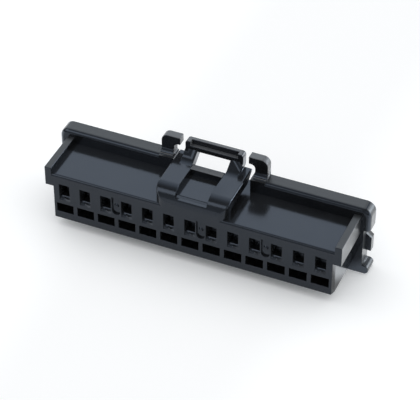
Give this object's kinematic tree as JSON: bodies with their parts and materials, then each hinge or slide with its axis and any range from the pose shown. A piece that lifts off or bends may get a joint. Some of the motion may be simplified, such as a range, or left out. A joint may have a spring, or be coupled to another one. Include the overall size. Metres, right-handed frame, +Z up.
{
  "type": "connector housing",
  "caption": "One-piece moulded plug housing of a cable connector: a row of terminal cavities behind a pierced mating face, a sprung latch with a press pad, guard ears, rails and a flange.",
  "frame": {"origin": "middle of the footprint, on the surface that the flange and the keying ribs stand on", "axes": "+X along the row of terminals, -Y towards the mating face, +Z up through the latch"},
  "size_m": [0.0294, 0.0062, 0.0089],
  "materials": {
    "housing": "semi-gloss black moulding, finely grained on rails, ears and press pad"
  },
  "bodies": {
    "root": {"housing": "housing"}
  },
  "joints": []
}
